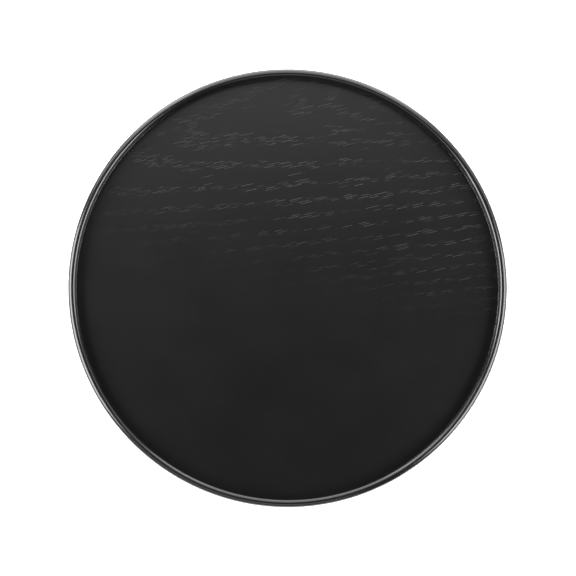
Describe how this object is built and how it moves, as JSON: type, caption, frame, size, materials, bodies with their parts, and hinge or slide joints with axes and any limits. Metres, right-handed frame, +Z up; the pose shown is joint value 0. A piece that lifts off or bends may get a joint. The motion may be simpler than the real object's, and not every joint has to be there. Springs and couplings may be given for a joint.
{
  "type": "serving tray",
  "caption": "Round serving tray: a flat floor of black-stained ash plywood in a low laminated bentwood hoop with a rounded top.",
  "frame": {"origin": "centre of the flat resting face under the tray", "axes": "+Z up through the middle of the tray, +X along the face veneer's grain"},
  "size_m": [0.38, 0.38, 0.02],
  "materials": {
    "black_ash_face": "black stain under a thin satin lacquer, with open pores",
    "core_ply": "black-stained cross-banded core, closed in by the veneers and the hoop",
    "black_ash_back": "black stain under a thin satin lacquer, with open pores",
    "black_ash_rim": "black stain under smoother, fuller satin lacquer"
  },
  "bodies": {
    "root": {"face_veneer": "black_ash_face", "upper_cross_ply": "core_ply", "centre_ply": "core_ply", "lower_cross_ply": "core_ply", "backing_veneer": "black_ash_back", "hoop_inner_strip": "black_ash_rim", "hoop_second_strip": "black_ash_rim", "hoop_third_strip": "black_ash_rim", "hoop_outer_strip": "black_ash_rim"}
  },
  "joints": []
}
